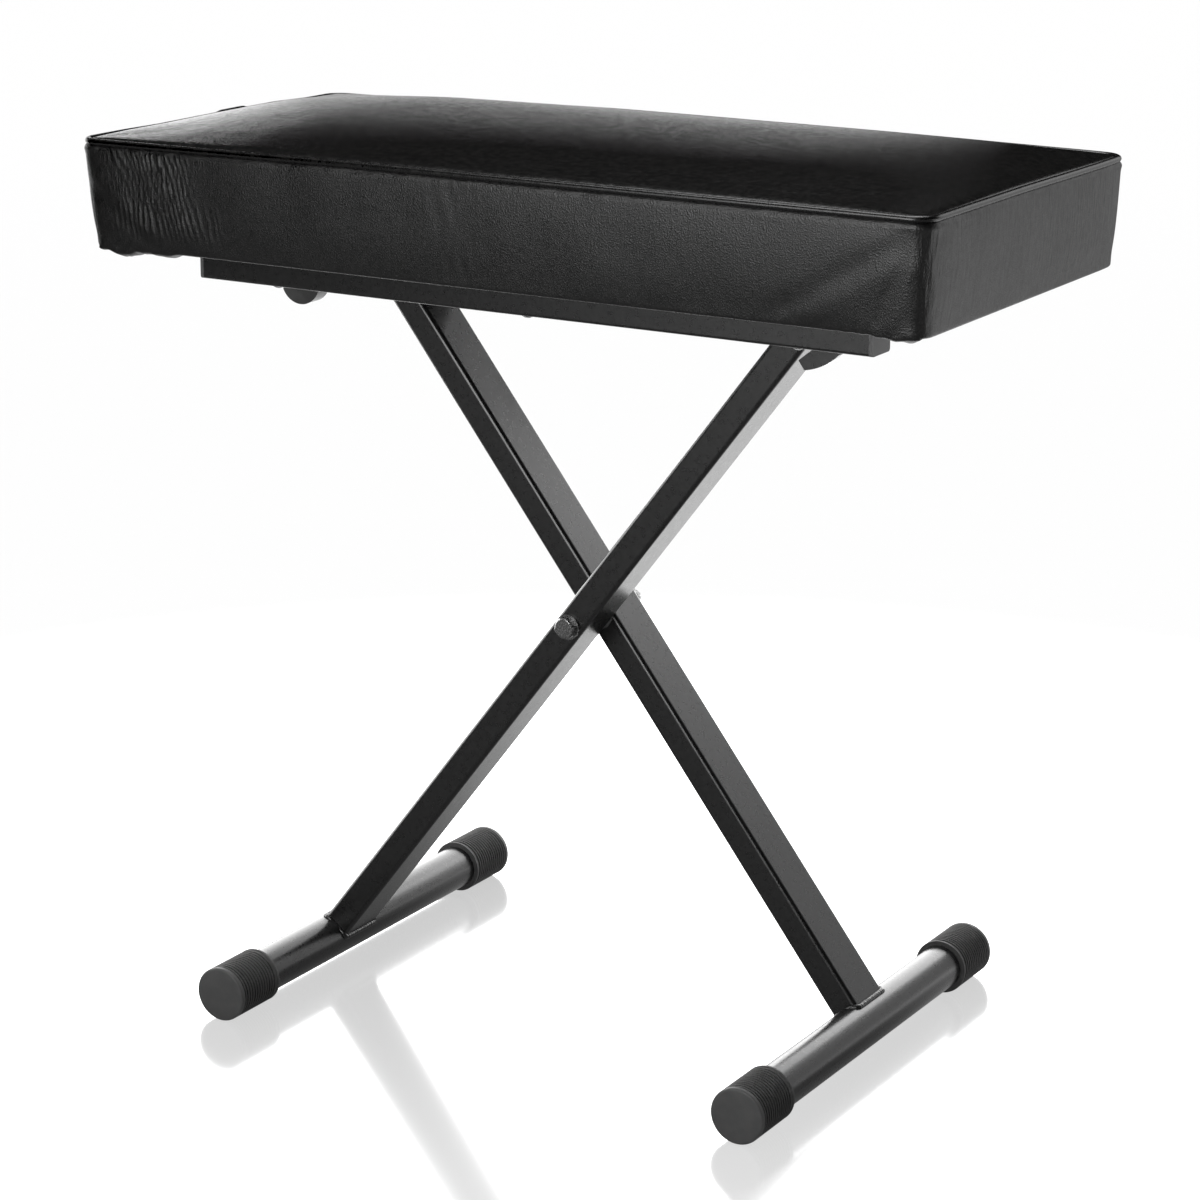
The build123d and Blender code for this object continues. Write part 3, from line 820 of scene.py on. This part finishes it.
def makeBolt(dial):
    low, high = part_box("pivot_bolt")
    centre = middleOf("pivot_bolt")
    flats, around, shank, thick = (dial[part] for part in ("flats", "around", "shank", "threadThick"))
    length, turn = high.y - low.y, math.radians(dial["turn"])
    edge = hexEdge(flats, dial["faceShare"], dial["slope"])
    profile = [(0.0, 0.0)] + edge + [(dial["headHeight"], flats / math.sqrt(3)), (dial["headHeight"], shank),
                                     (length - dial["tip"], shank), (length, shank * dial["tipShare"]),
                                     (length, 0.0)]
    solid = turned("pivotBolt", profile, (centre.x, low.y, centre.z), 1, steel, around, flats, turn,
                   dial["faceSharp"])
    start = (centre.x, high.y - dial["tip"] - dial["thread"] * dial["threads"], centre.z)
    values = {"Count": dial["threads"], "Start": start, "Step": (0.0, dial["thread"], 0.0),
              "Radius": shank - thick * dial["threadSink"], "Thickness": thick,
              "Around": dial["threadAround"], "Coat": steel}
    handOver(grown("pivotBolt", solid, ribbed, values), "front_leg", "dark_steel", "pivot_bolt")
    low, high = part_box("pivot_nut")
    height, bore = high.y - low.y, shank + dial["boreGap"]
    shoulder, collar, bevel = height - dial["collar"], dial["collarRadius"], dial["collarEdge"]
    profile = [(0.0, bore)] + edge + [(shoulder - d, r) for d, r in edge[::-1]]
    profile += [(shoulder, collar), (height - bevel, collar), (height, collar - bevel), (height, bore),
                (0.0, bore)]
    solid = turned("pivotNut", profile, (centre.x, low.y, centre.z), 1, steel, around, flats, turn)
    handOver(plainObject("pivotNut", solid), "front_leg", "dark_steel", "pivot_nut")
    print("pivot bolt and nut made")


makeBolt(boltDial)


screwDial = {"rings": (0.0006, 0.0012, 0.0018, 0.0021, 0.0026, 0.0032, 0.0038, 0.0044, 0.0048), "around": 48,
             "headHeight": 0.003, "dome": 3, "grouping": 0.012, "slotWidth": 0.0006, "slotReach": 0.0022,
             "slotDepth": 0.0013, "rim": 0.0012, "shank": 0.0025}


def screwHead(dial, radius, length):
    # a pan head that hangs from the origin, with a cross recess and a plain shank above
    height, rim, shank = dial["headHeight"], dial["rim"], dial["shank"]
    angles = np.linspace(0, 2 * math.pi, dial["around"], endpoint=False)
    points, rings = [(0, 0, dial["slotDepth"] - height)], [[0]]
    rows = [(r, None) for r in dial["rings"]]
    rows += [(radius, -rim), (radius, 0.0), (shank, 0.0), (shank, length)]
    for r, level in rows:
        rings.append(list(range(len(points), len(points) + dial["around"])))
        for a in angles:
            x, y = r * math.cos(a), r * math.sin(a)
            z = level
            if z is None:
                z = -height + (height - rim) * (r / radius) ** dial["dome"]
                narrow, wide = sorted((abs(x), abs(y)))
                z += dial["slotDepth"] * (narrow < dial["slotWidth"] and wide < dial["slotReach"])
            points.append((x, y, z))
    rings.append([len(points)])
    points.append((0, 0, length))
    return plainObject("screwHead", ringMesh("screwHead", points, rings, steel))


def screwTree():
    flow, sockets, keys = growTree("panScrews", {"Head": "Object", "Turn": "Float"})
    head = flow.add("GeometryNodeObjectInfo", None, {"Object": sockets["Head"]}, out=4)
    spin = flow.add("FunctionNodeRandomValue", None, {2: 0.0, 3: sockets["Turn"], "Seed": 4}, out=1)
    turn = flow.add("ShaderNodeCombineXYZ", None, {"Z": spin})
    screws = flow.add("GeometryNodeInstanceOnPoints", None,
                      {"Points": sockets["Geometry"], "Instance": head, "Rotation": turn})
    return closeTree(flow, screws, sockets, keys)


def makeScrews(made, node, dial):
    points = readPoints(nodes[node].data)

    def nearTo(spot):
        return points[np.hypot(*(points[:, :2] - spot[:2]).T) < dial["grouping"]]

    centres = []
    for point in points:
        if all(np.hypot(*(point[:2] - c[:2])) > dial["grouping"] for c in centres):
            near = nearTo(point)
            centres.append((near.min(0) + near.max(0)) / 2)
    low, high = points[:, 2].min() + dial["headHeight"], points[:, 2].max()
    head = screwHead(dial, np.ptp(nearTo(centres[0])[:, 0]) / 2, high - low)
    mesh = bpy.data.meshes.new(made)
    mesh.from_pydata([(c[0], c[1], low) for c in centres], [], [])
    screws = grown(made, mesh, screwTree(), {"Head": head, "Turn": math.pi, "Coat": steel})
    bpy.data.objects.remove(head)
    handOver(screws, "seat", "dark_steel", node)
    print(made, "made:", len(centres))


makeScrews("railScrews", "rail_screws", screwDial)
makeScrews("strapScrews", "strap_screws", screwDial)


weldDial = {"halfDepth": 0.0102, "corner": 0.003, "bead": 0.0021, "spacing": 0.0010, "least": 0.94,
            "most": 1.04, "points": 12}


def weldTree():
    inputs = {"Bead": "Float", "Spacing": "Float", "Least": "Float", "Most": "Float"}
    flow, sockets, keys = growTree("weldBeads", inputs)
    even = evenPath(flow, sockets)
    drop = flow.add("GeometryNodeMeshIcoSphere", None, {"Radius": sockets["Bead"], "Subdivisions": 3})
    smooth = flow.add("GeometryNodeSetShadeSmooth", None, {0: drop})
    limits = {2: sockets["Least"], 3: sockets["Most"], "Seed": 7}
    size = flow.add("FunctionNodeRandomValue", None, limits, out=1)
    beads = flow.add("GeometryNodeInstanceOnPoints", None,
                     {"Points": even, "Instance": smooth, "Scale": size})
    return closeTree(flow, beads, sockets, keys)


def makeWeld(made, node, leg, tube, farTube, dial):
    # the bead follows the line where the leg's outline meets the tube
    centre, far = middleOf(tube), middleOf(farTube)
    along = Vector((far.x - centre.x, 0, far.z - centre.z)).normalized()
    across = Vector((along.z, 0, -along.x))
    low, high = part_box(leg)
    tubeLow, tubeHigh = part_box(tube)
    radius = (tubeHigh.x - tubeLow.x) / 2
    halfWidth, middle = (high.y - low.y) / 2, (high.y + low.y) / 2
    corner, outline = dial["corner"], []
    for quarter, (u, w) in enumerate(((1, 1), (-1, 1), (-1, -1), (1, -1))):
        for a in np.radians(np.linspace(0, 90, dial["points"]) + 90 * quarter):
            outline.append((u * (dial["halfDepth"] - corner) + corner * math.cos(a),
                            w * (halfWidth - corner) + corner * math.sin(a)))
    path = []
    for u, w in outline:
        spot = centre + across * u + along * math.sqrt(radius * radius - u * u)
        path.append((spot.x, middle + w, spot.z))
    values = {"Bead": dial["bead"], "Spacing": dial["spacing"], "Least": dial["least"], "Most": dial["most"],
              "Coat": paint}
    handOver(grown(made, closedPath(made, path), welded, values), leg, "black_paint", node)


welded = weldTree()
for weldName, weldLeg, weldTube, farTube in (
        ("leftFootWeld", "front_leg", "left_foot_tube", "front_top_tube"),
        ("rightFootWeld", "rear_leg", "right_foot_tube", "rear_top_tube"),
        ("frontTopWeld", "front_leg", "front_top_tube", "left_foot_tube"),
        ("rearTopWeld", "rear_leg", "rear_top_tube", "right_foot_tube")):
    makeWeld(weldName, weldTube.replace("tube", "weld"), weldLeg, weldTube, farTube, weldDial)
print("welds made: 4")


def makeCamera():
    dial = {"place": (1.167149, -1.995300, 0.929389), "azimuth": -30.2954, "elevation": -15.6355,
            "roll": 0.22404, "lens": 108.7353, "sensor": 36, "reach": 50}
    az, el, roll = (math.radians(dial[k]) for k in ("azimuth", "elevation", "roll"))
    ahead = Vector((math.sin(az) * math.cos(el), math.cos(az) * math.cos(el), math.sin(el)))
    right = ahead.cross(Vector((0, 0, 1))).normalized()
    up = right.cross(ahead)
    tiltedRight = right * math.cos(roll) + up * math.sin(roll)
    tiltedUp = up * math.cos(roll) - right * math.sin(roll)
    data = bpy.data.cameras.new("camera")
    data.sensor_width = dial["sensor"]
    data.lens = dial["lens"]
    data.clip_end = dial["reach"]
    camera = plainObject("camera", data)
    camera.matrix_world = Matrix.Translation(dial["place"]) @ Matrix(
        (tiltedRight, tiltedUp, -ahead)).transposed().to_4x4()
    scene.camera = camera


def litWhen(tree, *names):
    path = tree.nodes.new("ShaderNodeLightPath")
    flags = [Flow(tree, path.outputs[name]) for name in names]
    total = flags[0]
    for flag in flags[1:]:
        total = total + flag
    return total.maths("MINIMUM", 1.0)


def shownAs(material, shape):
    tree = material.node_tree
    tree.links.new(shape.socket, tree.nodes["Material Output"].inputs["Surface"])
    return material


def glowing(flow, strength):
    return flow.add("ShaderNodeEmission", None, {"Color": grey(1.0), "Strength": strength})


def seeThrough(flow):
    return flow.add("ShaderNodeBsdfTransparent", None, {"Color": grey(1.0)})


def mixed(flow, share, first, second):
    return flow.add("ShaderNodeMixShader", None, {0: share, 1: first, 2: second})


floorDial = {"speck": 5, "colour": (0.88, 0.92), "roughness": (0.45, 0.5), "white": 0.94, "mirror": 2.4,
             "bend": 1.45, "blur": 0.12, "room": (0.0, 0.5, 0.22, 2.0)}


def floorMaterial(dial):
    # white to the camera, and darker in front of the bench where its paint mirrors the room
    material, flow, place, shader = newMaterial("paleFloor")
    tree = material.node_tree
    speck = noiseField(flow, place, dial["speck"])
    low, high = dial["colour"]
    colour = speck.remap(*noiseRange).colours(grey(low), grey(high))
    rough = speck.remap(*noiseRange, *dial["roughness"])
    dress(flow, shader, {"Base Color": colour, "Roughness": rough, "Specular IOR Level": 0.0})
    camera = litWhen(tree, "Is Camera Ray")
    mirrored = litWhen(tree, "Is Glossy Ray", "Is Transmission Ray")
    room = axes(flow, place)[1].remap(*dial["room"])
    lit = mixed(flow, camera * dial["white"], Flow(tree, shader.outputs[0]), glowing(flow, 1.0))
    told = mixed(flow, mirrored, lit, glowing(flow, room))
    gloss = flow.add("ShaderNodeBsdfGlossy", None, {"Roughness": dial["blur"], "Color": grey(1.0)})
    rim = flow.add("ShaderNodeFresnel", None, {"IOR": dial["bend"]})
    whole = mixed(flow, rim * camera * dial["mirror"], told, gloss)
    # a view from below sees through the floor
    below = flow.add("ShaderNodeNewGeometry", out="Backfacing") * camera
    return shownAs(material, mixed(flow, below, whole, seeThrough(flow)))


def clearMaterial():
    material, flow = newMaterial("clearFilm")[:2]
    return shownAs(material, seeThrough(flow))


# each card's turns round the bench in degrees, and its brightness along one axis
cardDial = {
    "leftCard": {"turns": (-115, 16.5), "span": (0.01, 0.92), "radius": 1.05, "axis": 0,
                 "levels": (-0.6, 0.1, 4.8, 5.5)},
    "rightCard": {"turns": (16.5, 60), "span": (0.01, 1.2), "radius": 1.05, "axis": 2,
                  "levels": (0.5, 0.9, 0.85, 1.4)},
    "seatCard": {"turns": (-105, 8), "span": (0.47, 0.645), "radius": 0.5, "axis": 0,
                 "levels": (-0.47, -0.41, 2.4, 1.0), "fade": (-0.12, 0.10)},
    "frontCard": {"turns": (165, 250), "span": (0.33, 1.3), "radius": 1.6, "axis": 0,
                  "levels": (-0.88, -0.2, -0.4, 7.2)},
}


def cardMaterial(name, dial):
    material, flow, place = newMaterial(name)[:3]
    along = axes(flow, place)[dial["axis"]]
    level = along.remap(*dial["levels"])
    if "fade" in dial:
        level = level * along.remap(*dial["fade"], 1.0, 0.0)
    return shownAs(material, glowing(flow, level))


def aimed(lamp, pieces):
    receivers = bpy.data.collections.new(lamp.name)
    for thing in pieces:
        receivers.objects.link(thing)
    lamp.light_linking.receiver_collection = receivers


def makeCard(name, pieces, steps=40):
    # a curved card round the bench that only the gloss of the given pieces can see
    dial = cardDial[name]
    (low, high), radius = dial["span"], dial["radius"]
    turns = np.radians(np.linspace(*dial["turns"], steps + 1))
    rows = [(radius * math.sin(t), radius * math.cos(t)) for t in turns]
    points = [(x, y, low) for x, y in rows] + [(x, y, high) for x, y in rows]
    faces = [(k, k + 1, k + steps + 2, k + steps + 1) for k in range(steps)]
    card = plainObject(name, meshFrom(name, points, faces, cardMaterial(name, dial)))
    card.visible_camera = card.visible_diffuse = card.visible_shadow = False
    aimed(card, pieces)
    return card


stageDial = {"size": 14.0, "film": 0.0002, "ambient": 0.3, "ceiling": 0.012, "horizon": (-0.05, 0.02)}


def makeStage(dial):
    half = dial["size"] / 2
    corners = np.array([(-half, -half, 0), (half, -half, 0), (half, half, 0), (-half, half, 0)])

    def sheet(name, level, material):
        return plainObject(name, meshFrom(name, corners + (0, 0, level), [(0, 1, 2, 3)], material))

    floor = sheet("floor", 0.0, floorMaterial(floorDial))
    # rays mirrored by the floor pass this clear film, so the world can stay white for them
    film = sheet("film", dial["film"], clearMaterial())
    film.visible_diffuse = film.visible_shadow = False
    cover = [bpy.data.objects[name] for name in ("seatCushion", "seatPiping")]
    pieces = [thing for thing in scene.objects if thing.type == "MESH"]
    metal = [thing for thing in pieces if thing not in cover]
    left = makeCard("leftCard", metal)
    right, seat, front = [makeCard(name, pieces) for name in ("rightCard", "seatCard", "frontCard")]
    return [thing for thing in metal if "rail" not in thing.name]


def makeWorld(dial):
    # white to the camera and through the film, dark above the horizon to the bench's gloss
    world = bpy.data.worlds.new("studio")
    scene.world = world
    world.use_nodes = True
    tree = world.node_tree
    flow = Flow(tree)
    height = axes(flow, flow.add("ShaderNodeTexCoord", out=0))[2]
    sweep = height.remap(*dial["horizon"], 1.0, dial["ceiling"])
    camera = litWhen(tree, "Is Camera Ray")
    glossy = litWhen(tree, "Is Glossy Ray", "Is Transmission Ray")
    filmed = litWhen(tree, "Transparent Depth") * glossy
    level = glossy * sweep + (1.0 - glossy) * dial["ambient"]
    white = (camera + filmed).maths("MINIMUM", 1.0)
    background = tree.nodes["Background"]
    flow.feed(background.inputs["Color"], grey(1.0))
    flow.feed(background.inputs["Strength"], white + (1.0 - white) * level)


# glow is a panel's own brightness, where 1 is white
lampDial = {"overhead": {"place": (-0.2, 0.25, 2.7), "aim": (-0.1, 0.2, 0.3), "size": (1.9, 1.5), "glow": 5.0},
            "front": {"place": (-0.6, -2.7, 0.5), "aim": (0, 0, 0.4), "size": (1.1, 0.9), "glow": 2.0}}


def makeLight(name):
    dial = lampDial[name]
    place, (wide, tall) = dial["place"], dial["size"]
    data = bpy.data.lights.new(name, "AREA")
    data.shape = "RECTANGLE"
    data.size, data.size_y = wide, tall
    data.energy = dial["glow"] * math.pi * wide * tall
    lamp = plainObject(name, data)
    lamp.location = place
    lamp.rotation_euler = (Vector(dial["aim"]) - Vector(place)).to_track_quat("-Z", "Y").to_euler()
    return lamp


makeCamera()
metalPieces = makeStage(stageDial)
makeWorld(stageDial)
makeLight("overhead")
aimed(makeLight("front"), metalPieces)
scene.view_settings.view_transform = "Standard"
print("stage and lights set")
